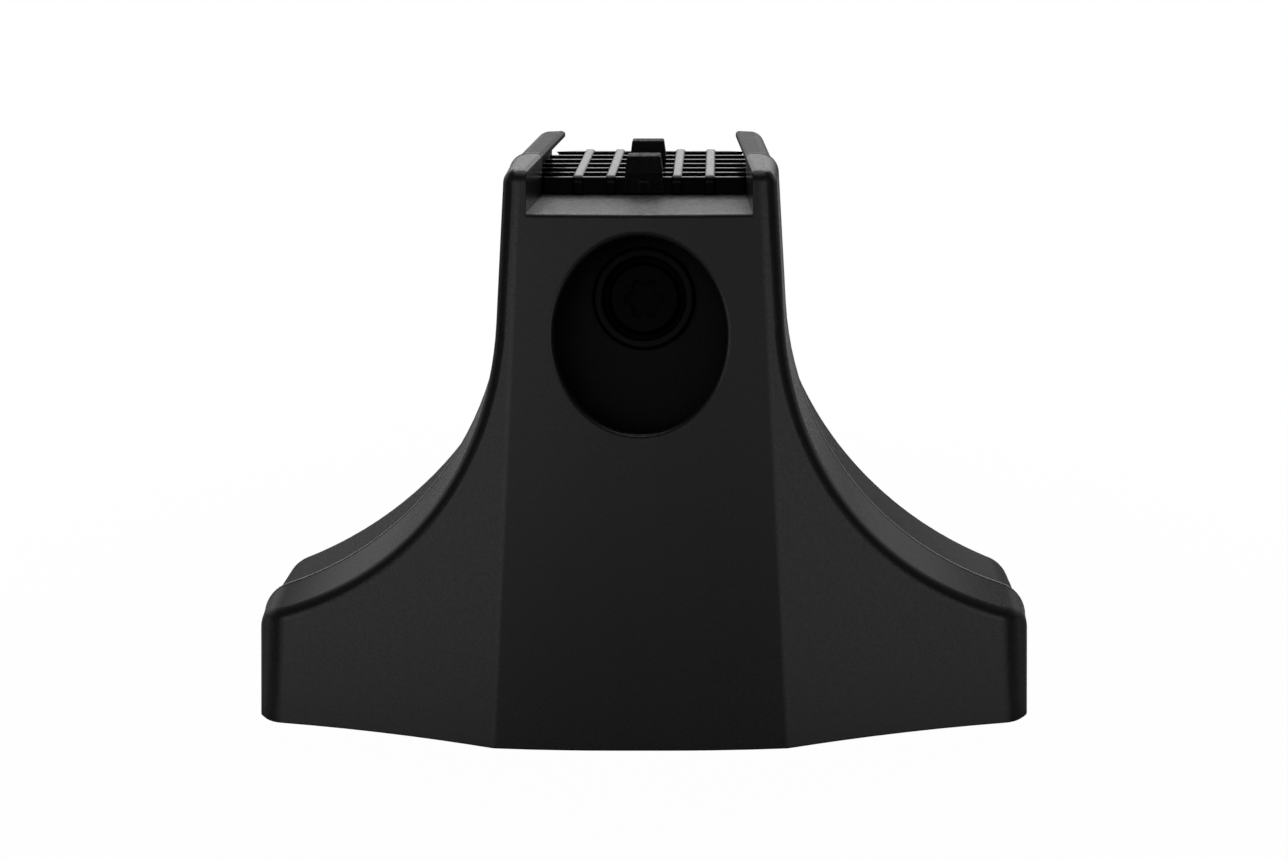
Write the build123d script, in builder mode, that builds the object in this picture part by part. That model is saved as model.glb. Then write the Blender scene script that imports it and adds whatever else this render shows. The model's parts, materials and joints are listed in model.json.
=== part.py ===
"""Roof bar foot: two moulded shells that lean back, a bar cradle on top and a clamp lever inside."""
import os
from math import atan, cos, degrees, radians, sin, sqrt, tan

from build123d import *

# Overall form, in millimetres and degrees
overall_width = 168.0
overall_height = 116.4
base_depth = 60.0
lean_angle = 15.0
wall = 3.0

# Outline seen from the front, measured at the seam between the two shells
neck_width = 58.2
neck_flare = 3.2
wing_tip_height = 23.9
wing_tip_radius = 7.5
shoulder_radius = 69.0
horn_radius = 4.2

# Front cover
cover_depth = 22.8
cover_draft = 1.0
front_shoulder_radius = 76.0
panel_width = 61.7
panel_bow = 1.0
panel_taper = 2.9
crease_radius = 5.0
wing_setback = 13.2
wing_hollow = 1.2
wing_corner_cut = 3.4
wing_corner_angle = 50.0
wing_corner_radius = 6.5
front_edge_radius = 3.3
ledge_edge_radius = 1.0
opening_width = 35.8
opening_height = 41.0
opening_drop = 24.0
opening_edge_radius = 0.9

# Foot body
seam_step = 0.8
body_draft = 0.2
neck_squeeze = 1.4
rear_flat_margin = 1.8
rear_sweep = 17.0
rear_crease_radius = 8.0
body_edge_radius = 1.2
bulkhead = 3.5
cradle_floor = 3.2
main_rib_gap = 29.2
main_rib = 3.0
wing_rib = 2.4
wing_rib_places = (33.0, 48.0, 64.0)
rib_recess = 5.0

# Bar cradle
horn_height = 8.7
horn_width = 6.8
horn_lip = 1.5
horn_edge = 0.6
horn_edge_angle = 45.0
channel_draft = 2.0

# Bar pad
pad_clearance = 0.3
pad_tuck = 3.0
pad_height = 3.8
pad_base = 1.2
cross_rib = 1.2
cross_rib_count = 7
long_rib = 2.2
long_rib_pitch = 7.2
long_rib_count = 5
long_rib_rise = 0.4
long_rib_crown = 0.5
nose_reach = 0.9
nose_radius = 1.6
key_height = 4.6
key_base_width = 9.2
key_top_width = 7.2
key_length = 6.2
key_spacing = 21.9
key_edge_radius = 0.5

# Tension screw, a cap screw with a low head and a six-lobe recess, and what holds it
screw_drop = 22.6
screw_diameter = 10.0
screw_head_diameter = 16.0
screw_head = 6.0
screw_length = 35.0
screw_chamfer = 1.0
screw_head_edge = 0.8
recess_size = 8.9
recess_core = 6.4
recess_lobe = 2.2
recess_depth = 3.6
washer_diameter = 18.0
washer = 1.6
boss_diameter = 22.4
boss_rise = 2.0
boss_floor = 3.0
boss_edge = 0.6
screw_hole_clearance = 0.4
head_clearance = 0.3
clip_diameter = 17.0
clip = 1.2
clip_groove = 0.8
clip_mouth = 6.0
clip_gap = 0.3
running_clearance = 0.08

# Clamp lever, its barrel nut and its pin
lever_sheet = 3.0
lever_width = 24.0
nut_diameter = 14.0
nut_overhang = 1.2
nut_chamfer = 0.6
nut_seat = 25.0
thread_clearance = 0.35
nut_arm = 32.0
hook_end_height = 17.5
hook_arm_angle = 10.0
eye_radius = 10.0
arm_radius = 8.0
web_length = 27.0
hook_slot_width = 14.0
hook_slot_height = 8.0
hook_slot_margin = 9.0
pin_diameter = 8.0
pin_overhang = 1.4
pin_chamfer = 0.6
pin_boss_radius = 7.5
lever_side_clearance = 0.3
pin_clip_diameter = 14.0
pin_clip = 1.2
pin_clip_groove = 0.8
pin_clip_mouth = 5.0

# Bar bolt
bolt_diameter = 6.0
bolt_head_length = 13.0
bolt_head_width = 6.4
bolt_head = 3.4
bolt_head_corner = 2.0
bolt_lift = 6.0
bolt_washer_diameter = 12.0
bolt_washer = 1.6
bolt_nut_size = 10.0
bolt_nut = 5.0
bolt_tail = 0.6
bolt_hole_clearance = 0.3
bolt_head_clearance = 0.6
seat_gap = 0.05

# Cover screws
upper_screw_inset = 6.9
upper_screw_drop = 13.2
lower_screw_spread = 56.0
lower_screw_height = 13.0
cover_screw_diameter = 4.2
cover_screw_head_diameter = 8.0
cover_screw_head = 2.6
cover_screw_bite = 8.0
cover_screw_head_edge = 0.8
cover_screw_clearance = 0.3
cross_length = 4.6
cross_width = 0.9
cross_depth = 1.6
cover_boss_diameter = 12.0

# Directions and planes: the front, the seam and the rear are parallel and lean back
slope = tan(radians(lean_angle))
up_the_lean = (0, sin(radians(lean_angle)), cos(radians(lean_angle)))
out_of_front = (0, -cos(radians(lean_angle)), sin(radians(lean_angle)))
into_body = (0, cos(radians(lean_angle)), -sin(radians(lean_angle)))
ledge_height = overall_height - horn_height
channel_width = neck_width - 2 * horn_width
rear_flat_width = channel_width - 2 * (channel_draft + rear_flat_margin)
rear_rounding = body_edge_radius * (slope + 1 / cos(radians(lean_angle)) - 1)
horn_setback = rear_flat_margin * tan(radians(rear_sweep)) + rear_rounding
front_y = -(base_depth + overall_height * slope - horn_setback) / 2
seam_y = front_y + cover_depth
rear_y = front_y + base_depth
far = 2 * overall_width
touch = 0.01
rim_facing = 0.3


def leaning_plane(floor_y):
    """Plane parallel to the front face that meets the floor at this depth."""
    return Plane(origin=(0, floor_y, 0), x_dir=(1, 0, 0), z_dir=out_of_front)


def along_lean(height):
    """Distance up a leaning plane at which this height above the floor is reached."""
    return height / cos(radians(lean_angle))


front_plane = leaning_plane(front_y)
seam_plane = leaning_plane(seam_y)
side_plane = Plane(origin=(0, seam_y, 0), x_dir=into_body, z_dir=(1, 0, 0))
body_depth = (base_depth - cover_depth) * cos(radians(lean_angle))


def neck_lean(squeeze):
    """Lean of the neck line, whose foot stays where it is when its top is squeezed."""
    return atan(tan(radians(neck_flare)) + squeeze / along_lean(overall_height))


def shoulder_start(flare):
    """Point of the neck line where the seam's shoulder arc leaves it on its way to the wing tip."""
    foot = Vector(neck_width / 2 + along_lean(overall_height) * tan(radians(neck_flare)), 0)
    outward = Vector(cos(flare), sin(flare))
    upward = Vector(-sin(flare), cos(flare))
    to_tip = Vector(overall_width / 2, along_lean(wing_tip_height)) - foot - outward * shoulder_radius
    climb = to_tip.dot(upward)
    climb += sqrt(climb**2 - to_tip.length**2 + shoulder_radius**2)
    return foot + upward * climb


def bell(plane, inset, squeeze, arc_radius, top):
    """Bell outline from below the floor up to a flat top at this height."""
    flare = neck_lean(squeeze)
    outward = Vector(cos(flare), sin(flare))
    centre = shoulder_start(flare) + outward * arc_radius
    radius = arc_radius + inset
    rise = along_lean(top)
    tip_x = overall_width / 2 - inset
    tip = (tip_x, centre.Y - sqrt(radius**2 - (centre.X - tip_x) ** 2))
    start = centre - outward * radius
    neck = (start.X - (rise - start.Y) * tan(flare), rise)
    with BuildSketch(plane) as outline:
        with BuildLine():
            RadiusArc(tip, (start.X, start.Y), radius)
            Polyline((start.X, start.Y), neck, (0, rise), (0, -wall), (tip_x, -wall), tip)
        make_face()
        tip_corner = outline.vertices().group_by(Axis.X)[-1].sort_by(Axis.Y)[-1]
        fillet(tip_corner, max(wing_tip_radius - inset, wall))
        horn_corner = outline.vertices().group_by(Axis.Y)[-1].sort_by(Axis.X)[-1]
        fillet(horn_corner, max(horn_radius - inset, wall))
        mirror(about=Plane.YZ)
    return outline.sketch


def front_trim(setback):
    """What lies in front of the panel and the swept wings, moved back by a setback."""
    lean_in = tan(radians(panel_taper))
    flat = overall_height * lean_in
    wing_share = 1 - wing_corner_cut / (overall_width / 2 - panel_width / 2)
    corner_reach = 2 * wing_corner_cut
    corner_step = Vector(corner_reach, corner_reach * tan(radians(wing_corner_angle)))
    with BuildPart() as waste:
        for side in (1, -1):
            floor_below = Plane(origin=(side * lean_in * wall, front_y + setback - slope * wall, -wall))
            with BuildSketch(floor_below) as ahead:
                with BuildLine():
                    panel = Line((0, 0), (flat, 0))
                    bow = TangentArc((flat, 0), (panel_width / 2, panel_bow), tangent=panel % 1)
                    tip = (overall_width / 2, wing_setback)
                    middle = ((bow @ 1 + Vector(*tip)) / 2) + Vector(0, wing_hollow)
                    sweep = ThreePointArc(bow @ 1, middle, tip, mode=Mode.PRIVATE)
                    wing = ThreePointArc(bow @ 1, sweep @ 0.5, sweep @ wing_share)
                    corner = Line(wing @ 1, wing @ 1 + corner_step)
                    Polyline(corner @ 1, ((corner @ 1).X, -far), (0, -far), (0, 0))
                make_face()
                fillet(ahead.vertices().sort_by_distance(bow @ 1)[0], crease_radius)
                fillet(ahead.vertices().sort_by_distance(wing @ 1)[0], wing_corner_radius)
                if side < 0:
                    mirror(about=Plane.YZ, mode=Mode.REPLACE)
            extrude(amount=2 * overall_height, dir=(-side * lean_in, slope, 1))
    return waste.part


def rear_trim():
    """What lies behind the flat of the rear and its swept wings."""
    sweep_run = overall_width - rear_flat_width / 2
    outer = (overall_width, -sweep_run * tan(radians(rear_sweep)))
    with BuildPart() as waste:
        with BuildSketch(Plane(origin=(0, rear_y - slope * wall, -wall))) as behind:
            with BuildLine():
                crease = (rear_flat_width / 2, 0)
                Polyline((0, 0), crease, outer, (overall_width, far), (0, far), (0, 0))
            make_face()
            fillet(behind.vertices().sort_by_distance(crease)[0], rear_crease_radius)
            mirror(about=Plane.YZ)
        extrude(amount=2 * overall_height, dir=(0, slope, 1))
    return waste.part


def channel_half(y):
    """Half width of the bar channel at this depth; the sides close a little towards the rear."""
    return channel_width / 2 - channel_draft * (y - channel_y) / channel_length


def channel_outline(height, spread):
    """Outline of the bar's channel on a level plane, wider by a spread on each side."""
    ahead_y = front_y
    behind_y = back_y + wall
    with BuildSketch(Plane.XY.offset(height)) as outline:
        with BuildLine():
            ahead = (channel_half(ahead_y) + spread, ahead_y)
            side = Line(ahead, (channel_half(behind_y) + spread, behind_y))
            Polyline(side @ 1, (0, behind_y), (0, ahead_y), side @ 0)
        make_face()
        mirror(about=Plane.YZ)
    return outline.sketch


def shell_form(front, rear):
    """Solid between two leaning outlines, standing on the floor."""
    with BuildPart() as form:
        add(front)
        add(rear)
        loft(ruled=True)
        split(bisect_by=Plane.XY, keep=Keep.TOP)
    return form.part


def outer_rim(shell, towards):
    """Edges round the leaning front or rear of a shell, without those on the floor and along the bar."""
    facing = shell.faces().filter_by(lambda face: face.normal_at().Y * towards > rim_facing)
    rim = facing.edges()
    return ShapeList(
        edge
        for edge in rim
        if sum(edge.is_same(other) for other in rim) == 1
        and edge.center().Z > touch
        and abs(edge.center().X) > channel_half(edge.center().Y) + touch
    )


def on_opening_rim(edge):
    """Whether an edge of the cover is part of the outer rim of the tool opening."""
    place = front_plane.to_local_coords(edge.center())
    inside_width = abs(place.X) < opening_width / 2 + touch
    inside_height = abs(place.Y - opening_rise) < opening_height / 2 + touch
    return inside_width and inside_height and abs(place.Z) < wall / 2


def snap_ring(plane, outer_radius, inner_radius, thickness, mouth):
    """Flat open ring that snaps into a groove."""
    with BuildPart() as ring:
        with BuildSketch(plane):
            Circle(outer_radius)
            Circle(inner_radius, mode=Mode.SUBTRACT)
            Rectangle(mouth, outer_radius, align=(Align.CENTER, Align.MAX), mode=Mode.SUBTRACT)
        extrude(amount=thickness)
    return ring.part


# Places that several pieces share
back_y = rear_y + overall_height * slope
channel_y = seam_y + ledge_height * slope
channel_length = back_y - channel_y
rear_waste = rear_trim()
ledge_rise = along_lean(ledge_height)
upper_screw_spread = neck_width / 2 - upper_screw_inset
upper_spots = [(side * upper_screw_spread, ledge_rise - upper_screw_drop) for side in (1, -1)]
lower_spots = [(side * lower_screw_spread, lower_screw_height) for side in (1, -1)]
screw_spots = upper_spots + lower_spots
opening_rise = along_lean(ledge_height - opening_drop)
screw_height = ledge_rise - screw_drop
head_room = screw_head + washer
boss_end = head_room + boss_floor
screw_start = seam_plane.from_local_coords((0, screw_height, 0))
screw_plane = Plane(origin=screw_start, x_dir=(1, 0, 0), z_dir=into_body)
nut_place = (nut_seat, screw_height)
pivot_place = (nut_seat, screw_height - nut_arm)
down_the_arm = Vector(-sin(radians(hook_arm_angle)), -cos(radians(hook_arm_angle)))
behind_the_arm = Vector(cos(radians(hook_arm_angle)), -sin(radians(hook_arm_angle)))
pad_front_y = channel_y + pad_clearance
pad_rear_y = rear_y + (ledge_height + pad_height) * slope
pad_length = pad_rear_y - pad_front_y
tuck_front_y = pad_front_y + pad_height * slope
bolt_y = pad_front_y + (key_length + key_spacing) / 2
floor_underside = ledge_height - cradle_floor

# Space of the bar, the bevels along it and the space of the pad under the horns
with BuildPart() as bar_space:
    add(channel_outline(ledge_height, 0))
    extrude(amount=overall_height)

with BuildPart() as horn_bevels:
    add(channel_outline(overall_height - horn_edge, 0))
    extrude(amount=2 * horn_edge, taper=-horn_edge_angle)

with BuildPart() as pad_space:
    add(channel_outline(ledge_height, pad_tuck))
    extrude(amount=horn_height - horn_lip)

# Front cover
core_top = ledge_height - wall
cover_form = shell_form(
    bell(front_plane, cover_draft, 0, front_shoulder_radius, overall_height),
    bell(seam_plane, 0, 0, shoulder_radius, overall_height),
)
cover_core = shell_form(
    bell(front_plane, wall, 0, front_shoulder_radius, core_top),
    bell(seam_plane, wall, 0, shoulder_radius, core_top),
)

with BuildPart() as cover_hollow:
    add(cover_core)
    add(front_trim(wall / cos(radians(lean_angle))), mode=Mode.SUBTRACT)
    with BuildSketch(seam_plane):
        with Locations(*screw_spots):
            Circle(cover_boss_diameter / 2)
    extrude(amount=cover_depth, mode=Mode.SUBTRACT)

with BuildPart() as front_cover:
    add(cover_form)
    add(front_trim(0), mode=Mode.SUBTRACT)
    add(bar_space, mode=Mode.SUBTRACT)
    fillet(outer_rim(front_cover, -1), front_edge_radius)
    add(horn_bevels, mode=Mode.SUBTRACT)
    add(cover_hollow, mode=Mode.SUBTRACT)
    level_faces = front_cover.faces().filter_by(Plane.XY)
    ledge = level_faces.filter_by(lambda face: abs(face.center().Z - ledge_height) < touch)
    fillet(ledge.edges().sort_by(Axis.Y)[0], ledge_edge_radius)
    with BuildSketch(front_plane):
        with Locations((0, opening_rise)):
            Ellipse(opening_width / 2, opening_height / 2)
    extrude(amount=cover_depth / 2, both=True, mode=Mode.SUBTRACT)
    fillet(front_cover.edges().filter_by(on_opening_rim), opening_edge_radius)
    with BuildSketch(seam_plane):
        with Locations(*screw_spots):
            Circle(cover_screw_diameter / 2 + seat_gap)
    extrude(amount=cover_screw_bite, mode=Mode.SUBTRACT)

# Foot body
rear_plane = leaning_plane(rear_y)
body_inset = seam_step + body_draft
bulkhead_plane = leaning_plane(seam_y + bulkhead / cos(radians(lean_angle)))
body_form = shell_form(
    bell(seam_plane, seam_step, 0, shoulder_radius, overall_height),
    bell(rear_plane, body_inset, neck_squeeze, shoulder_radius, overall_height),
)
body_core = shell_form(
    bell(bulkhead_plane, seam_step + wall, 0, shoulder_radius, floor_underside),
    bell(leaning_plane(rear_y + wall), body_inset + wall, neck_squeeze, shoulder_radius, floor_underside),
)
main_rib_place = (main_rib_gap + main_rib) / 2

with BuildPart() as rear_bay:
    add(body_core)
    add(Pos(0, -rib_recess, 0) * rear_waste, mode=Mode.INTERSECT)

with BuildPart() as body_hollow:
    add(body_core)
    with Locations((main_rib_place, 0, 0), (-main_rib_place, 0, 0)):
        Box(main_rib, far, far, mode=Mode.SUBTRACT)
    for place in wing_rib_places:
        with Locations((place, 0, 0), (-place, 0, 0)):
            Box(wing_rib, far, far, mode=Mode.SUBTRACT)
    add(rear_bay)

with BuildPart() as screw_boss:
    with BuildSketch(screw_plane.offset(-boss_rise)):
        Circle(boss_diameter / 2)
    extrude(amount=boss_rise + boss_end)
    chamfer(screw_boss.edges().group_by(Axis(screw_start, into_body))[0], boss_edge)

with BuildPart() as foot_body:
    add(body_form)
    add(rear_waste, mode=Mode.SUBTRACT)
    add(bar_space, mode=Mode.SUBTRACT)
    fillet(outer_rim(foot_body, 1), body_edge_radius)
    add(horn_bevels, mode=Mode.SUBTRACT)
    add(pad_space, mode=Mode.SUBTRACT)
    add(body_hollow, mode=Mode.SUBTRACT)
    # Seat of the tension screw, a boss through the bulkhead
    add(screw_boss)
    with BuildSketch(screw_plane.offset(-boss_rise)):
        Circle(washer_diameter / 2 + head_clearance)
    extrude(amount=boss_rise + head_room, mode=Mode.SUBTRACT)
    with BuildSketch(screw_plane):
        Circle(screw_diameter / 2 + screw_hole_clearance)
    extrude(amount=boss_end, mode=Mode.SUBTRACT)
    # Seats of the pivot pin in the two main ribs, open to the rear
    for side in (1, -1):
        with BuildSketch(side_plane.offset(side * main_rib_gap / 2)):
            with Locations(pivot_place):
                Circle(pin_boss_radius)
        extrude(amount=side * (lever_width / 2 + lever_side_clearance - main_rib_gap / 2))
    with BuildSketch(side_plane):
        with Locations(pivot_place):
            Circle(pin_diameter / 2 + seat_gap)
            Rectangle(body_depth, pin_diameter + 2 * seat_gap, align=(Align.MIN, Align.CENTER))
    extrude(amount=main_rib_gap / 2 + main_rib + touch, both=True, mode=Mode.SUBTRACT)
    # Holes of the cover screws and of the bar bolt
    with BuildSketch(seam_plane):
        with Locations(*screw_spots):
            Circle(cover_screw_diameter / 2 + cover_screw_clearance)
    extrude(amount=-bulkhead, mode=Mode.SUBTRACT)
    with BuildSketch(Plane.XY.offset(floor_underside)):
        with Locations((0, bolt_y)):
            Circle(bolt_diameter / 2 + bolt_hole_clearance)
    extrude(amount=cradle_floor, mode=Mode.SUBTRACT)


def pad_outline():
    """Outline of the bar pad from above; behind the cover its sides reach under the horns."""
    with BuildSketch(Plane.XY.offset(ledge_height)) as outline:
        for start_y, spread in ((pad_front_y, 0), (tuck_front_y, pad_tuck)):
            ahead = channel_half(start_y) + spread - pad_clearance
            behind = channel_half(pad_rear_y) + spread - pad_clearance
            front_corners = ((-ahead, start_y), (ahead, start_y))
            rear_corners = ((behind, pad_rear_y), (-behind, pad_rear_y))
            Polygon(*front_corners, *rear_corners, align=None)
    return outline.sketch


# Bar pad
cross_pitch = (pad_length - cross_rib) / (cross_rib_count - 1)
nose_y = pad_front_y - nose_reach
rail_bottom = ledge_height + pad_clearance
rail_top = ledge_height + pad_height + long_rib_rise
key_rise = pad_height + key_height - pad_clearance
key_taper = degrees(atan((key_base_width - key_top_width) / 2 / key_rise))

# One lengthwise rib with a round crown that runs down the front as a nose
with BuildPart() as pad_rail:
    with BuildSketch(Plane.YZ) as rail_side:
        with Locations((nose_y, rail_bottom)):
            Rectangle(pad_rear_y - nose_y, rail_top - rail_bottom, align=Align.MIN)
        fillet(rail_side.vertices().group_by(Axis.X)[0].sort_by(Axis.Y)[-1], nose_radius)
    extrude(amount=long_rib / 2, both=True)
    side_edges = pad_rail.faces().filter_by(Plane.YZ).edges()
    raised_edges = side_edges.filter_by(lambda edge: edge.center().Z > rail_bottom + touch)
    fillet(raised_edges.filter_by(lambda edge: edge.center().Y < pad_rear_y - touch), long_rib_crown)

with BuildPart() as bar_pad:
    add(pad_outline())
    extrude(amount=pad_base)
    with BuildSketch(Plane.XY.offset(ledge_height)):
        with Locations((0, (pad_front_y + pad_rear_y) / 2)):
            with GridLocations(cross_pitch, cross_pitch, 1, cross_rib_count):
                Rectangle(neck_width, cross_rib)
        add(pad_outline(), mode=Mode.INTERSECT)
    extrude(amount=pad_height)
    with GridLocations(long_rib_pitch, long_rib_pitch, long_rib_count, 1):
        add(pad_rail)
    # Two keys that enter the slot of the bar
    with BuildSketch(Plane.XY.offset(rail_bottom)):
        with Locations((0, nose_y)):
            Rectangle(key_base_width, key_length + nose_reach, align=(Align.CENTER, Align.MIN))
        with Locations((0, pad_front_y + key_spacing)):
            Rectangle(key_base_width, key_length, align=(Align.CENTER, Align.MIN))
    extrude(amount=key_rise, taper=key_taper)
    fillet(bar_pad.edges().group_by(Axis.Z)[-1], key_edge_radius)
    with BuildSketch(Plane.XY.offset(ledge_height)):
        with Locations((0, bolt_y)):
            Rectangle(bolt_head_width + 2 * bolt_head_clearance, bolt_head_length + 2 * bolt_head_clearance)
    extrude(amount=pad_height + key_height, mode=Mode.SUBTRACT)
    # The end lies flush with the rear of the body
    add(rear_waste, mode=Mode.SUBTRACT)

# Tension screw and what holds it
groove_start = boss_end + clip_gap - seat_gap

with BuildPart() as tension_screw:
    with BuildSketch(screw_plane):
        Circle(screw_head_diameter / 2)
    extrude(amount=screw_head)
    chamfer(tension_screw.edges().group_by(Axis(screw_start, into_body))[0], screw_head_edge)
    with BuildSketch(screw_plane):
        Circle(screw_diameter / 2)
    extrude(amount=screw_length)
    chamfer(tension_screw.edges().group_by(Axis(screw_start, into_body))[-1], screw_chamfer)
    with BuildSketch(screw_plane):
        Circle(recess_core / 2)
        with PolarLocations((recess_size - recess_lobe) / 2, 6):
            Circle(recess_lobe / 2)
    extrude(amount=recess_depth, mode=Mode.SUBTRACT)
    with BuildSketch(screw_plane.offset(groove_start)):
        Circle(screw_diameter / 2)
        Circle(screw_diameter / 2 - clip_groove, mode=Mode.SUBTRACT)
    extrude(amount=clip + 2 * seat_gap, mode=Mode.SUBTRACT)

with BuildPart() as screw_washer:
    with BuildSketch(screw_plane.offset(screw_head + seat_gap)):
        Circle(washer_diameter / 2)
        Circle(screw_diameter / 2 + screw_hole_clearance, mode=Mode.SUBTRACT)
    extrude(amount=washer - seat_gap)

with BuildPart() as screw_clip:
    clip_plane = screw_plane.offset(boss_end + clip_gap)
    clip_bore = screw_diameter / 2 - clip_groove + seat_gap
    add(snap_ring(clip_plane, clip_diameter / 2, clip_bore, clip, clip_mouth))

# Barrel nut, clamp lever and pin
nut_length = lever_width + 2 * nut_overhang

with BuildPart() as barrel_nut:
    with BuildSketch(side_plane.offset(-nut_length / 2)):
        with Locations(nut_place):
            Circle(nut_diameter / 2)
    extrude(amount=nut_length)
    chamfer(barrel_nut.edges().filter_by(GeomType.CIRCLE), nut_chamfer)
    with BuildSketch(screw_plane):
        Circle(screw_diameter / 2 + thread_clearance)
    extrude(amount=nut_seat + nut_diameter, mode=Mode.SUBTRACT)

hook_arm = (pivot_place[1] - hook_end_height) / cos(radians(hook_arm_angle))
arm_end = Vector(*pivot_place) + down_the_arm * hook_arm
web_middle = arm_end - down_the_arm * (web_length / 2) + behind_the_arm * (arm_radius - lever_sheet / 2)
slot_middle = arm_end - down_the_arm * hook_slot_margin + behind_the_arm * arm_radius

with BuildPart() as clamp_lever:
    with BuildSketch(side_plane) as upper_arm:
        with Locations(nut_place):
            Circle(eye_radius)
        with Locations(pivot_place):
            Circle(arm_radius)
        make_hull()
    extrude(amount=lever_width / 2, both=True)
    with BuildSketch(side_plane) as lower_arm:
        with Locations(pivot_place, (arm_end.X, arm_end.Y)):
            Circle(arm_radius)
        make_hull()
    extrude(amount=lever_width / 2, both=True)
    with BuildSketch(side_plane):
        with Locations(nut_place):
            Circle(2 * overall_height)
    extrude(amount=lever_width / 2 - lever_sheet, both=True, mode=Mode.SUBTRACT)
    with BuildSketch(side_plane):
        with Locations(Location((web_middle.X, web_middle.Y, 0), -hook_arm_angle)):
            Rectangle(lever_sheet, web_length)
    extrude(amount=lever_width / 2 - touch, both=True)
    with BuildSketch(side_plane):
        with Locations(Location((slot_middle.X, slot_middle.Y, 0), -hook_arm_angle)):
            Rectangle(2 * arm_radius, hook_slot_height)
    extrude(amount=hook_slot_width / 2, both=True, mode=Mode.SUBTRACT)
    with BuildSketch(side_plane):
        with Locations(nut_place):
            Circle(nut_diameter / 2 + running_clearance)
        with Locations(pivot_place):
            Circle(pin_diameter / 2 + running_clearance)
    extrude(amount=lever_width, both=True, mode=Mode.SUBTRACT)

clip_place = main_rib_gap / 2 + main_rib + seat_gap
pin_half = clip_place + pin_clip + pin_overhang

with BuildPart() as pivot_pin:
    with BuildSketch(side_plane.offset(-pin_half)):
        with Locations(pivot_place):
            Circle(pin_diameter / 2)
    extrude(amount=2 * pin_half)
    chamfer(pivot_pin.edges().filter_by(GeomType.CIRCLE), pin_chamfer)
    for side in (1, -1):
        with BuildSketch(side_plane.offset(side * (clip_place - seat_gap))):
            with Locations(pivot_place):
                Circle(pin_diameter / 2)
                Circle(pin_diameter / 2 - pin_clip_groove, mode=Mode.SUBTRACT)
        extrude(amount=side * (pin_clip + 2 * seat_gap), mode=Mode.SUBTRACT)

pivot_point = side_plane.from_local_coords((*pivot_place, 0))

with BuildPart() as pin_clips:
    ring_plane = Plane(origin=pivot_point + Vector(clip_place, 0, 0), x_dir=up_the_lean, z_dir=(1, 0, 0))
    inner_radius = pin_diameter / 2 - pin_clip_groove + seat_gap
    add(snap_ring(ring_plane, pin_clip_diameter / 2, inner_radius, pin_clip, pin_clip_mouth))
    mirror(about=Plane.YZ)

# Bar bolt
washer_top = floor_underside - bolt_lift
nut_top = washer_top - bolt_washer
bolt_end = nut_top - bolt_nut - bolt_tail

with BuildPart() as bar_bolt:
    with BuildSketch(Plane.XY.offset(ledge_height + seat_gap)):
        with Locations((0, bolt_y)):
            RectangleRounded(bolt_head_width, bolt_head_length, bolt_head_corner)
    extrude(amount=bolt_head)
    with BuildSketch(Plane.XY.offset(bolt_end)):
        with Locations((0, bolt_y)):
            Circle(bolt_diameter / 2)
    extrude(amount=ledge_height + seat_gap - bolt_end)
    chamfer(bar_bolt.edges().group_by(Axis.Z)[0], bolt_tail)

with BuildPart() as bar_bolt_washer:
    with BuildSketch(Plane.XY.offset(washer_top)):
        with Locations((0, bolt_y)):
            Circle(bolt_washer_diameter / 2)
            Circle(bolt_diameter / 2 + bolt_hole_clearance, mode=Mode.SUBTRACT)
    extrude(amount=-bolt_washer)

with BuildPart() as bar_bolt_nut:
    with BuildSketch(Plane.XY.offset(nut_top)):
        with Locations((0, bolt_y)):
            RegularPolygon(bolt_nut_size / 2, 6, major_radius=False)
            Circle(bolt_diameter / 2 + seat_gap, mode=Mode.SUBTRACT)
    extrude(amount=-bolt_nut)

# Cover screws, driven from the rear into the bosses of the cover
with BuildPart() as cover_screws:
    with BuildSketch(seam_plane.offset(-bulkhead)):
        with Locations(*screw_spots):
            Circle(cover_screw_head_diameter / 2)
    extrude(amount=-cover_screw_head)
    heads = cover_screws.faces().group_by(Axis((0, 0, 0), into_body))[-1]
    chamfer(heads.edges(), cover_screw_head_edge)
    with BuildSketch(seam_plane.offset(-bulkhead)):
        with Locations(*screw_spots):
            Circle(cover_screw_diameter / 2)
    extrude(amount=bulkhead + cover_screw_bite - touch)
    with BuildSketch(seam_plane.offset(-bulkhead - cover_screw_head)):
        with Locations(*screw_spots):
            Rectangle(cross_length, cross_width)
            Rectangle(cross_width, cross_length)
    extrude(amount=cross_depth, mode=Mode.SUBTRACT)

pieces = {
    "front_cover": front_cover,
    "foot_body": foot_body,
    "bar_pad": bar_pad,
    "tension_screw": tension_screw,
    "screw_washer": screw_washer,
    "screw_clip": screw_clip,
    "barrel_nut": barrel_nut,
    "clamp_lever": clamp_lever,
    "pivot_pin": pivot_pin,
    "pin_clips": pin_clips,
    "bar_bolt": bar_bolt,
    "bar_bolt_washer": bar_bolt_washer,
    "bar_bolt_nut": bar_bolt_nut,
    "cover_screws": cover_screws,
}

os.makedirs("parts", exist_ok=True)
for name, piece in pieces.items():
    piece.part.label = name
    export_step(piece.part, f"parts/{name}.step")
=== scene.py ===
"""Looks of the roof bar foot: grained black mouldings, rubber pad and plated steel in soft studio light."""
import json
from math import cos, radians, sin, tau

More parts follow.
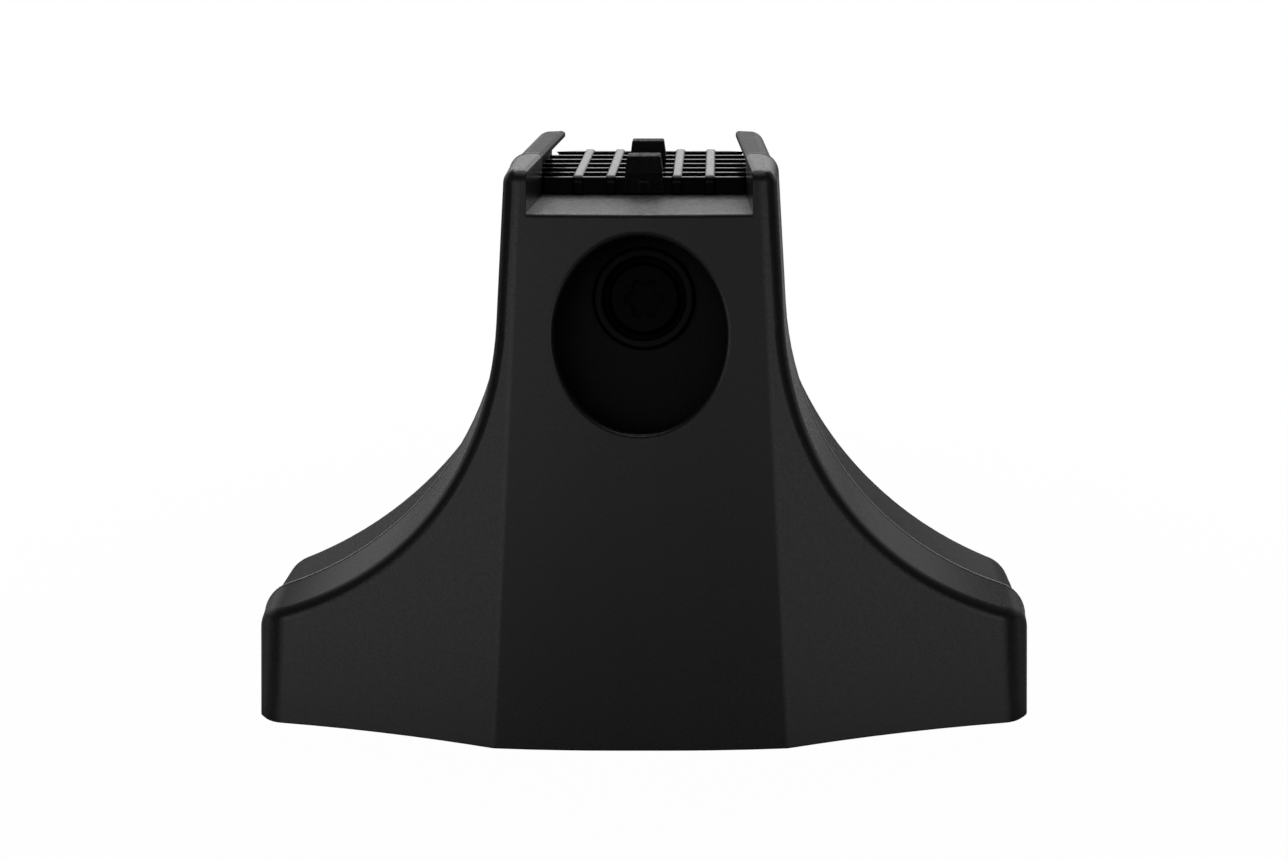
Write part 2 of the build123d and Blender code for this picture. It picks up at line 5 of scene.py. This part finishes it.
import bmesh
import bpy
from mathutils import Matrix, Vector

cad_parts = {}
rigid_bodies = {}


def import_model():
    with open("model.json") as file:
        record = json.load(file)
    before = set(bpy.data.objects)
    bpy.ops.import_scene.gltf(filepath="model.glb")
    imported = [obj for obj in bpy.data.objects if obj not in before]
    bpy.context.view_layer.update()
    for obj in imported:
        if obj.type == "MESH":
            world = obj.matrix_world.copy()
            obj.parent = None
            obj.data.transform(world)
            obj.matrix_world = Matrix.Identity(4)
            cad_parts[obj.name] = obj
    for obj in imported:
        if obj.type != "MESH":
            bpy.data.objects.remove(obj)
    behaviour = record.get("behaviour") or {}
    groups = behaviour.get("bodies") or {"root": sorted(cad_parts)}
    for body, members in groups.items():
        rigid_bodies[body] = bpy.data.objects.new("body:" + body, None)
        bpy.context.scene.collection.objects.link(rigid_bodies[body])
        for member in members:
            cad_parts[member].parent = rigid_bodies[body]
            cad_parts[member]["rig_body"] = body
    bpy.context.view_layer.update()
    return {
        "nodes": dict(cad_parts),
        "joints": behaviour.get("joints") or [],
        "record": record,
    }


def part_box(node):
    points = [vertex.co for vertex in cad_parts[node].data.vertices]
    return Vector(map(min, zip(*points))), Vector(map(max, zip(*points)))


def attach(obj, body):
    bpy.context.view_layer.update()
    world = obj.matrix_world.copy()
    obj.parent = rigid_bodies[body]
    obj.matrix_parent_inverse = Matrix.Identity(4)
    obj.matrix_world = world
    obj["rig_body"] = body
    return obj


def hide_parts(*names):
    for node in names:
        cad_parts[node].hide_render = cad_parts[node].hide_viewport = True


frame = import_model()
nodes = frame["nodes"]
record = frame["record"]
joints = {joint["name"]: joint for joint in frame["joints"]}
millimetre = 0.001

# Photograph: width in pixels, focal length and the point straight ahead of the lens
photo_width = 1288
focal_pixels = 1684
straight_ahead_x = 720.0
sensor_width = 36.0
camera_place = (16.6 * millimetre, -359.1 * millimetre, 172.5 * millimetre)
camera_pitch = 18.0
camera_near = 10 * millimetre

# Lamps: place, width and height in metres, power in watts
lamp_target = (0, 0, 0.06)
lamps = {
    "top_light": ((0.0, 0.15, 0.75), 0.6, 0.6, 1.6),
    "left_light": ((-0.56, -0.74, 0.22), 0.4, 0.55, 0.80),
    "right_light": ((0.52, -0.76, 0.22), 0.4, 0.55, 0.74),
    "back_light": ((0.02, 0.85, 0.25), 0.9, 0.1, 0.30),
    "high_back_light": ((0.02, 0.58, 0.70), 0.8, 0.5, 4.6),
}

# Studio: grey levels by the height of a direction, for the room, the glow in front and the backdrop behind
white = (1, 1, 1, 1)
room_levels = ((0.0, 0.05), (0.25, 0.08), (0.45, 0.08), (0.65, 0.03), (1.0, 0.08))
front_levels = ((0.0, 0.0), (0.05, 0.02), (0.10, 0.15), (0.17, 0.84), (0.30, 1.0),
                (0.42, 0.85), (0.60, 0.0))
rear_levels = ((0.0, 0.33), (0.15, 0.42), (0.35, 0.60), (0.50, 0.20), (0.62, 0.01), (1.0, 0.02))

# Glow: where it fades out, by how far a direction points back, and its share on the right
front_start = -0.94
front_end = -0.65
glow_right = 0.6
glow_reach = 0.1

# Backdrop: where it sets in, by how far a direction points back, and its strength on each side
rear_start = 0.1
rear_end = 0.6
left_strength = 1.35
right_strength = 1.1
side_reach = 0.5

# Floor: its colour in light, and the share of plain white near the object, which grows to all of it
floor_size = 3.0
floor_drop = 0.2 * millimetre
floor_colour = (0.30, 0.30, 0.30, 1)
floor_roughness = 0.9
near_share = 0.985
near_reach = 0.08
far_reach = 0.26

# Threads: start and end along the axis, radius of crest and root, pitch, and the fineness of the mesh
screw_thread_start = 13.0 * millimetre
screw_thread_end = 35.0 * millimetre
screw_crest = 5.0 * millimetre
screw_root = 4.1 * millimetre
screw_pitch = 1.5 * millimetre
bolt_thread_start = 9.0 * millimetre
bolt_crest = 3.0 * millimetre
bolt_root = 2.4 * millimetre
bolt_pitch = 1.0 * millimetre
rows_per_turn = 8
thread_columns = 48
flank_steepness = 1.5
sharp_angle = 35.0

# Keys of the pad, which are duller than its ribs
key_height = 112.4 * millimetre
matt_share = 4.0
matt_step = 0.3 * millimetre

# Usual range of a noise texture
noise_low = 0.3
noise_high = 0.7

# Grain of the mouldings: where a face counts as level, clouds of tone, painted glints speckled on the tops,
# spread of gloss
level_start = 0.975
level_end = 0.990
grain_detail = 2.0
cloud_grains = 60
cloud_detail = 3.0
cloud_dark = 0.88
cloud_light = 1.12
painted_glint_grains = 2.5
painted_glint_detail = 1.0
painted_glint_start = 0.38
painted_glint_end = 0.62
gloss_spread = 0.05
bump_strength = 1.0
bevel_samples = 4

# Streaks of the metals: fineness, spread of gloss and the darker tone
streak_detail = 4.0
streak_smoother = 0.04
streak_rougher = 0.05
streak_dark = 0.93

# Seam: radius of the beads, welding of points, depth of the rear plane and of the tops of the horns
lip_radius = 0.12 * millimetre
lip_resolution = 2
weld_distance = 0.001 * millimetre
plane_depth = 0.01 * millimetre
horn_depth = 1.0 * millimetre
lowest_side = -0.5
lowest_top = 0.5
main_share = 0.5


def new_material(name):
    """Empty node material with its tree and shader."""
    material = bpy.data.materials.new(name)
    material.use_nodes = True
    tree = material.node_tree
    shader = tree.nodes["Principled BSDF"]
    return material, tree, shader


def add_node(tree, kind, **settings):
    """New node whose named settings are filled in."""
    node = tree.nodes.new(kind)
    for key, value in settings.items():
        setattr(node, key, value)
    return node


def noise(tree, scale, detail, coordinates):
    """Noise texture on the object's own coordinates."""
    texture = add_node(tree, "ShaderNodeTexNoise")
    texture.inputs["Scale"].default_value = scale
    texture.inputs["Detail"].default_value = detail
    tree.links.new(coordinates.outputs["Object"], texture.inputs["Vector"])
    return texture


def spread(tree, value, low, high, start=noise_low, end=noise_high):
    """Map a value that runs from start to end to one that runs from low to high."""
    mapping = add_node(tree, "ShaderNodeMapRange")
    mapping.inputs["From Min"].default_value = start
    mapping.inputs["From Max"].default_value = end
    mapping.inputs["To Min"].default_value = low
    mapping.inputs["To Max"].default_value = high
    tree.links.new(value, mapping.inputs["Value"])
    return mapping.outputs["Result"]


def combine(tree, operation, first, second):
    """One value from two, by an operation of arithmetic."""
    result = add_node(tree, "ShaderNodeMath", operation=operation)
    tree.links.new(first, result.inputs[0])
    tree.links.new(second, result.inputs[1])
    return result.outputs["Value"]


def soft_edges(tree, radius):
    """Normal that rounds the sharp edges a little, so that they catch the light."""
    bevel = add_node(tree, "ShaderNodeBevel", samples=bevel_samples)
    bevel.inputs["Radius"].default_value = radius
    return bevel.outputs["Normal"]


def shades(colour, low, high):
    """Two shades of a colour, each a share of its brightness."""
    return [(*[share * part for part in colour], 1) for share in (low, high)]


def blend_colours(tree, factor, first, second):
    """Colour between two, which are fixed colours or sockets."""
    mix = add_node(tree, "ShaderNodeMix", data_type="RGBA")
    tree.links.new(factor, mix.inputs["Factor"])
    for name, colour in (("A", first), ("B", second)):
        socket = next(place for place in mix.inputs if place.name == name and place.type == "RGBA")
        if isinstance(colour, tuple):
            socket.default_value = colour
        else:
            tree.links.new(colour, socket)
    return next(place for place in mix.outputs if place.type == "RGBA")


def moulded(name, colour, roughness, grain_size, grain_depth, specular, edge_radius,
            top_grain=1.0, painted_top_light=1.0, painted_glint_contrast=1.1, top_gloss=1.0, matt_height=None):
    """Moulded plastic or rubber: fine grain, slight mottling of colour and gloss, coarser on level tops,
    whose colour is painted lighter with a speckle of painted glints.
    """
    material, tree, shader = new_material(name)
    coordinates = add_node(tree, "ShaderNodeTexCoord")
    axes = add_node(tree, "ShaderNodeSeparateXYZ")
    tree.links.new(coordinates.outputs["Normal"], axes.inputs["Vector"])
    top = spread(tree, axes.outputs["Z"], 0.0, 1.0, level_start, level_end)
    grain = noise(tree, 1 / grain_size, grain_detail, coordinates)
    cloud = noise(tree, 1 / (cloud_grains * grain_size), cloud_detail, coordinates)
    tint = blend_colours(tree, cloud.outputs["Fac"], *shades(colour, cloud_dark, cloud_light))
    painted_glint_noise = noise(tree, 1 / (painted_glint_grains * grain_size), painted_glint_detail, coordinates)
    painted_glint_mask = spread(tree, painted_glint_noise.outputs["Fac"], 0.0, 1.0, painted_glint_start, painted_glint_end)
    # Painted light: level tops are painted lighter, with a speckle of painted glints
    painted_top_shades = shades(colour, painted_top_light / painted_glint_contrast, painted_top_light * painted_glint_contrast)
    painted_glints = blend_colours(tree, painted_glint_mask, *painted_top_shades)
    tint = blend_colours(tree, top, tint, painted_glints)
    tree.links.new(tint, shader.inputs["Base Color"])
    gloss = spread(tree, grain.outputs["Fac"], roughness - gloss_spread, roughness + gloss_spread)
    duller = spread(tree, top, 1.0, top_gloss, 0.0, 1.0)
    gloss = combine(tree, "MULTIPLY", gloss, duller)
    if matt_height:
        place = add_node(tree, "ShaderNodeSeparateXYZ")
        tree.links.new(coordinates.outputs["Object"], place.inputs["Vector"])
        matt = spread(tree, place.outputs["Z"], 1.0, matt_share, matt_height, matt_height + matt_step)
        gloss = combine(tree, "MULTIPLY", gloss, matt)
    tree.links.new(gloss, shader.inputs["Roughness"])
    relief = spread(tree, top, 1.0, top_grain, 0.0, 1.0)
    bump = add_node(tree, "ShaderNodeBump")
    bump.inputs["Strength"].default_value = bump_strength
    bump.inputs["Distance"].default_value = grain_depth
    tree.links.new(combine(tree, "MULTIPLY", grain.outputs["Fac"], relief), bump.inputs["Height"])
    tree.links.new(soft_edges(tree, edge_radius), bump.inputs["Normal"])
    tree.links.new(bump.outputs["Normal"], shader.inputs["Normal"])
    shader.inputs["Specular IOR Level"].default_value = specular
    return material


def metal(name, colour, roughness, streak_size, edge_radius):
    """Plated or coated steel: fine streaks in gloss and a slight unevenness of tone."""
    material, tree, shader = new_material(name)
    coordinates = add_node(tree, "ShaderNodeTexCoord")
    streaks = noise(tree, 1 / streak_size, streak_detail, coordinates)
    smoothest = roughness - streak_smoother
    roughest = roughness + streak_rougher
    gloss = spread(tree, streaks.outputs["Fac"], smoothest, roughest)
    tree.links.new(gloss, shader.inputs["Roughness"])
    tint = blend_colours(tree, streaks.outputs["Fac"], *shades(colour, streak_dark, 1.0))
    tree.links.new(tint, shader.inputs["Base Color"])
    tree.links.new(soft_edges(tree, edge_radius), shader.inputs["Normal"])
    shader.inputs["Metallic"].default_value = 1.0
    return material


# Materials: one for each slot of the record, and a pale one for the lip of the cover, whose colour is a
# painted highlight along the seam
finishes = {
    "cover_plastic": moulded(
        "cover_plastic", (0.0100, 0.0100, 0.0102), roughness=0.30, grain_size=0.45 * millimetre,
        grain_depth=0.012 * millimetre, specular=0.30, edge_radius=0.4 * millimetre,
        # Painted light: level tops painted several times lighter, with painted glints
        top_grain=12.0, painted_top_light=8.0, painted_glint_contrast=1.4, top_gloss=1.3),
    "body_plastic": moulded(
        "body_plastic", (0.0025, 0.0025, 0.0026), roughness=0.36, grain_size=0.45 * millimetre,
        grain_depth=0.020 * millimetre, specular=0.08, edge_radius=0.4 * millimetre,
        # Painted light: level tops painted several times lighter, with painted glints
        top_grain=8.0, painted_top_light=12.0, painted_glint_contrast=1.3, top_gloss=1.2),
    "pad_rubber": moulded(
        "pad_rubber", (0.0006, 0.0006, 0.0006), roughness=0.14, grain_size=0.6 * millimetre,
        grain_depth=0.01 * millimetre, specular=0.12, edge_radius=0.6 * millimetre,
        matt_height=key_height),
    "black_steel": metal(
        "black_steel", (0.004, 0.004, 0.0043), roughness=0.40, streak_size=0.8 * millimetre,
        edge_radius=0.3 * millimetre),
    "plated_steel": metal(
        "plated_steel", (0.50, 0.51, 0.52), roughness=0.38, streak_size=1.2 * millimetre,
        edge_radius=0.3 * millimetre),
    "lever_steel": metal(
        "lever_steel", (0.52, 0.53, 0.54), roughness=0.38, streak_size=2.0 * millimetre,
        edge_radius=0.4 * millimetre),
}
# Pale finish of the lip: its colour is a painted highlight along the seam of the cover
painted_highlight_finish = moulded(
    "cover_painted_highlight", (0.50, 0.50, 0.505), roughness=0.40, grain_size=0.45 * millimetre,
    grain_depth=0.012 * millimetre, specular=0.30, edge_radius=0.1 * millimetre)
slots = {part["node"]: part["material_slot"] for part in record["subparts"]}
for node, slot in slots.items():
    mesh = nodes[node].data
    mesh.materials.clear()
    mesh.materials.append(finishes[slot])


def link(name, data):
    """Object for a mesh, curve or lamp, in the scene."""
    piece = bpy.data.objects.new(name, data)
    bpy.context.scene.collection.objects.link(piece)
    return piece


def dress(piece, body, slot, finish=None):
    """Let a piece ride on a body, with the finish of a slot or one of its own."""
    piece.data.materials.clear()
    piece.data.materials.append(finish or finishes[slot])
    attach(piece, body)


def add_thread(form, start, axis, length, crest, root, pitch):
    """Closed rod with a helical thread that runs out of a plain shank and ends in a chamfer."""
    across = axis.orthogonal().normalized()
    along_side = axis.cross(across)
    rows = round(length / pitch * rows_per_turn)
    rings = []
    for row in range(rows + 1):
        reach = length * row / rows
        ring = []
        for column in range(thread_columns):
            turn = column / thread_columns
            phase = (reach / pitch - turn) % 1
            height = flank_steepness * (1 - abs(2 * phase - 1)) - (flank_steepness - 1) / 2
            radius = root + (crest - root) * min(max(height, 0), 1)
            radius = max(radius, crest - reach)
            radius = min(radius, root + length - reach)
            outward = across * cos(turn * tau) + along_side * sin(turn * tau)
            ring.append(form.verts.new(start + axis * reach + outward * radius))
        rings.append(ring)
    for near, far in zip(rings, rings[1:]):
        for column in range(thread_columns):
            beside = (column + 1) % thread_columns
            form.faces.new((near[column], near[beside], far[beside], far[column]))
    form.faces.new(rings[0])
    form.faces.new(rings[-1])


def threaded(node, start, axis, thread_start, thread_end, crest, root, pitch):
    """Copy of a screw whose plain end is cut off and made again with a thread."""
    form = bmesh.new()
    form.from_mesh(nodes[node].data)
    bmesh.ops.remove_doubles(form, verts=form.verts, dist=weld_distance)
    cut_place = start + axis * thread_start
    everything = form.verts[:] + form.edges[:] + form.faces[:]
    bmesh.ops.bisect_plane(form, geom=everything, plane_co=cut_place, plane_no=axis, clear_outer=True)
    rim = [edge for edge in form.edges if edge.is_boundary]
    bmesh.ops.contextual_create(form, geom=rim)
    add_thread(form, cut_place, axis, thread_end - thread_start, crest, root, pitch)
    bmesh.ops.recalc_face_normals(form, faces=form.faces)
    mesh = bpy.data.meshes.new(node + "_threaded")
    form.to_mesh(mesh)
    form.free()
    old_normals = mesh.attributes.get("custom_normal")
    if old_normals:
        mesh.attributes.remove(old_normals)
    mesh.shade_smooth()
    mesh.set_sharp_from_angle(angle=radians(sharp_angle))
    piece = link(node + "_threaded", mesh)
    dress(piece, nodes[node]["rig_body"], slots[node])
    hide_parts(node)


# Threads of the tension screw, from its head into the body, and of the bar bolt, from its head down
screw_place = Vector(joints["screw_turn"]["pos_m"])
screw_axis = -Vector(joints["screw_turn"]["axis"]).normalized()
threaded("tension_screw", screw_place, screw_axis, screw_thread_start, screw_thread_end,
         screw_crest, screw_root, screw_pitch)
bolt_low, bolt_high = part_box("bar_bolt")
bolt_place = Vector(joints["bolt_nut_turn"]["pos_m"])
bolt_place.z = bolt_high.z
bolt_length = bolt_high.z - bolt_low.z
down = Vector((0, 0, -1))
threaded("bar_bolt", bolt_place, down, bolt_thread_start, bolt_length,
         bolt_crest, bolt_root, bolt_pitch)


def outline_of_rear(mesh, axis):
    """Welded copy of a mesh, and the edges round its rearmost plane with the face beside each."""
    form = bmesh.new()
    form.from_mesh(mesh)
    bmesh.ops.remove_doubles(form, verts=form.verts, dist=weld_distance)
    deepest = max(vertex.co.dot(axis) for vertex in form.verts)
    rear = set()
    for face in form.faces:
        if min(vertex.co.dot(axis) for vertex in face.verts) > deepest - plane_depth:
            rear.add(face)
    rims = {}
    for edge in form.edges:
        beside = [face for face in edge.link_faces if face not in rear]
        if len(edge.link_faces) == 2 and len(beside) == 1:
            rims[edge] = beside[0]
    return form, rims


def follow(edges):
    """Chains of points through edges that meet end to end."""
    remaining = dict.fromkeys(edges)
    chains = []
    while remaining:
        edge = next(iter(remaining))
        del remaining[edge]
        chain = [edge.verts[0], edge.verts[1]]
        for end in (-1, 0):
            step = edge
            while step:
                step = next((other for other in chain[end].link_edges if other in remaining), None)
                if step:
                    del remaining[step]
                    chain.insert(len(chain) if end else 0, step.other_vert(chain[end]))
        chains.append([vertex.co.copy() for vertex in chain])
    return chains


def length_of(chain):
    """Length of the way through a chain of points."""
    return sum((after - before).length for before, after in zip(chain, chain[1:]))


# Seam: the outer edges of the cover's rear plane, in chains of which the long ones are kept
cover_form, cover_rims = outline_of_rear(nodes["front_cover"].data, screw_axis)
cover_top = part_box("front_cover")[1].z
outer_edges = []
for edge, face in cover_rims.items():
    middle = (edge.verts[0].co + edge.verts[1].co) / 2
    on_side = face.normal.x * middle.x > 0 and face.normal.z > lowest_side
    on_horn = face.normal.z > lowest_top and middle.z > cover_top - horn_depth
    if on_side or on_horn:
        outer_edges.append(edge)
chains = follow(outer_edges)
shortest = main_share * max(length_of(chain) for chain in chains)
main_chains = [chain for chain in chains if length_of(chain) > shortest]
cover_form.free()


def bead(name, shift):
    """Fine round bead along the seam, shifted in the direction of the screw."""
    curve = bpy.data.curves.new(name, "CURVE")
    curve.dimensions = "3D"
    curve.bevel_depth = lip_radius
    curve.bevel_resolution = lip_resolution
    curve.use_fill_caps = True
    for chain in main_chains:
        line = curve.splines.new("POLY")
        line.points.add(len(chain) - 1)
        for point, place in zip(line.points, chain):
            point.co = (*(place + screw_axis * shift), 1)
    return link(name, curve)


# A pale bead on the cover's side of the seam, coloured as a painted highlight line, and a dark one on the
# body's side
dress(bead("cover_painted_highlight", -lip_radius), "housing", "cover_plastic", painted_highlight_finish)
dress(bead("body_edge", lip_radius), "housing", "body_plastic")

# Floor, white to the camera but for a soft shadow near the object
floor_mesh = bpy.data.meshes.new("floor")
floor_form = bmesh.new()
bmesh.ops.create_grid(floor_form, x_segments=1, y_segments=1, size=floor_size)
floor_form.to_mesh(floor_mesh)
floor_form.free()
floor = link("floor", floor_mesh)
floor.location.z = -floor_drop
floor_material, floor_tree, floor_shader = new_material("floor_paper")
floor_shader.inputs["Base Color"].default_value = floor_colour
floor_shader.inputs["Roughness"].default_value = floor_roughness
floor_place = add_node(floor_tree, "ShaderNodeTexCoord")
floor_reach = add_node(floor_tree, "ShaderNodeVectorMath", operation="LENGTH")
floor_tree.links.new(floor_place.outputs["Object"], floor_reach.inputs[0])
floor_clean = spread(floor_tree, floor_reach.outputs["Value"], near_share, 1.0, near_reach, far_reach)
floor_path = add_node(floor_tree, "ShaderNodeLightPath")
floor_white = add_node(floor_tree, "ShaderNodeEmission")
floor_mix = add_node(floor_tree, "ShaderNodeMixShader")
floor_share = combine(floor_tree, "MULTIPLY", floor_path.outputs["Is Camera Ray"], floor_clean)
floor_tree.links.new(floor_share, floor_mix.inputs["Fac"])
floor_tree.links.new(floor_shader.outputs["BSDF"], floor_mix.inputs[1])
floor_tree.links.new(floor_white.outputs["Emission"], floor_mix.inputs[2])
floor_tree.links.new(floor_mix.outputs["Shader"], floor_tree.nodes["Material Output"].inputs["Surface"])
floor_mesh.materials.append(floor_material)


def level_by_height(tree, height, stops):
    """Grey level that follows the height of a direction through a list of stops."""
    ramp = add_node(tree, "ShaderNodeValToRGB")
    steps = ramp.color_ramp.elements
    steps[0].position = stops[0][0]
    steps[-1].position = stops[-1][0]
    for stop in stops[1:-1]:
        steps.new(stop[0])
    for step, stop in zip(steps, stops):
        step.color = (stop[1], stop[1], stop[1], 1)
    tree.links.new(height, ramp.inputs["Fac"])
    return ramp.outputs["Color"]


# World: white for the camera, a dim room for light, and in reflections a glow in front and a pale backdrop
world = bpy.data.worlds.new("studio")
world.use_nodes = True
bpy.context.scene.world = world
sky = world.node_tree
sky_room = sky.nodes["Background"]
sky_place = add_node(sky, "ShaderNodeTexCoord")
sky_axes = add_node(sky, "ShaderNodeSeparateXYZ")
sky.links.new(sky_place.outputs["Generated"], sky_axes.inputs["Vector"])
sky.links.new(level_by_height(sky, sky_axes.outputs["Z"], room_levels), sky_room.inputs["Color"])
sky_white = add_node(sky, "ShaderNodeBackground")
sky_white.inputs["Color"].default_value = white
sky_behind = spread(sky, sky_axes.outputs["Y"], 0.0, 1.0, rear_start, rear_end)
sky_side = spread(sky, sky_axes.outputs["X"], left_strength, right_strength, -side_reach, side_reach)
sky_rear = level_by_height(sky, sky_axes.outputs["Z"], rear_levels)
sky_path = add_node(sky, "ShaderNodeLightPath")
sky_glossy = sky_path.outputs["Is Glossy Ray"]
sky_mirror = combine(sky, "MAXIMUM", sky_glossy, sky_path.outputs["Is Transmission Ray"])
sky_backdrop = combine(sky, "MULTIPLY", sky_behind, sky_side)
sky_backdrop = combine(sky, "MULTIPLY", sky_backdrop, sky_rear)
sky_front = spread(sky, sky_axes.outputs["Y"], 1.0, 0.0, front_start, front_end)
sky_lean = spread(sky, sky_axes.outputs["X"], 1.0, glow_right, -glow_reach, glow_reach)
sky_glow = combine(sky, "MULTIPLY", sky_front, sky_lean)
sky_ahead = level_by_height(sky, sky_axes.outputs["Z"], front_levels)
sky_glow = combine(sky, "MULTIPLY", sky_glow, sky_ahead)
sky_share = combine(sky, "ADD", sky_backdrop, sky_glow)
sky_share = combine(sky, "MULTIPLY", sky_share, sky_mirror)
sky_share = combine(sky, "MAXIMUM", sky_share, sky_path.outputs["Is Camera Ray"])
sky_mix = add_node(sky, "ShaderNodeMixShader")
sky.links.new(sky_share, sky_mix.inputs["Fac"])
sky.links.new(sky_room.outputs["Background"], sky_mix.inputs[1])
sky.links.new(sky_white.outputs["Background"], sky_mix.inputs[2])
sky.links.new(sky_mix.outputs["Shader"], sky.nodes["World Output"].inputs["Surface"])

# Soft boxes that look at the object
for name, (place, width, height, power) in lamps.items():
    lamp = bpy.data.lights.new(name, "AREA")
    lamp.shape = "RECTANGLE"
    lamp.size = width
    lamp.size_y = height
    lamp.energy = power
    holder = link(name, lamp)
    holder.location = place
    holder.visible_camera = False
    direction = Vector(lamp_target) - Vector(place)
    holder.rotation_euler = direction.to_track_quat("-Z", "Y").to_euler()

# Camera at the photograph's angle
camera_data = bpy.data.cameras.new("camera")
camera_data.sensor_fit = "HORIZONTAL"
camera_data.sensor_width = sensor_width
camera_data.lens = focal_pixels * sensor_width / photo_width
camera_data.shift_x = (photo_width / 2 - straight_ahead_x) / photo_width
camera_data.clip_start = camera_near
camera = link("camera", camera_data)
camera.location = camera_place
camera.rotation_euler = (radians(90 - camera_pitch), 0, 0)
bpy.context.scene.camera = camera

bpy.context.scene.view_settings.view_transform = "Standard"
